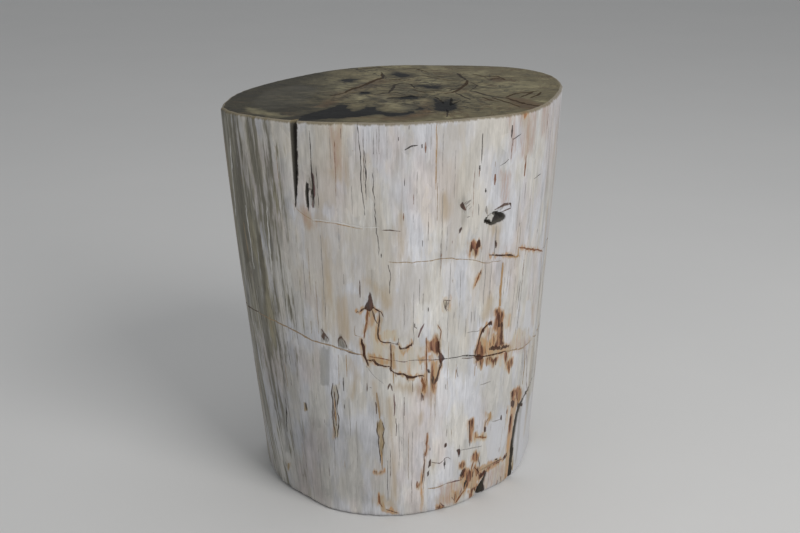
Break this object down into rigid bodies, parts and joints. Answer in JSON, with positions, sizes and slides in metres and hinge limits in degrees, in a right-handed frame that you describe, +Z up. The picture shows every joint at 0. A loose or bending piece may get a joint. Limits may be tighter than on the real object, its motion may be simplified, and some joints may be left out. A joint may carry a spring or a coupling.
{
  "type": "petrified wood stool",
  "caption": "Tapered length of petrified log, sawn flat at both ends, with a polished top to sit on or use as a low table.",
  "frame": {"origin": "centre of the footprint's box, on the ground", "axes": "+Z up along the grain, -Y towards the face shown in the picture, +X to its right"},
  "size_m": [0.3463, 0.3093, 0.42],
  "materials": {
    "fossil_wood": "ground side, polished top"
  },
  "bodies": {
    "root": {"petrified_wood_stool": "fossil_wood"}
  },
  "joints": []
}
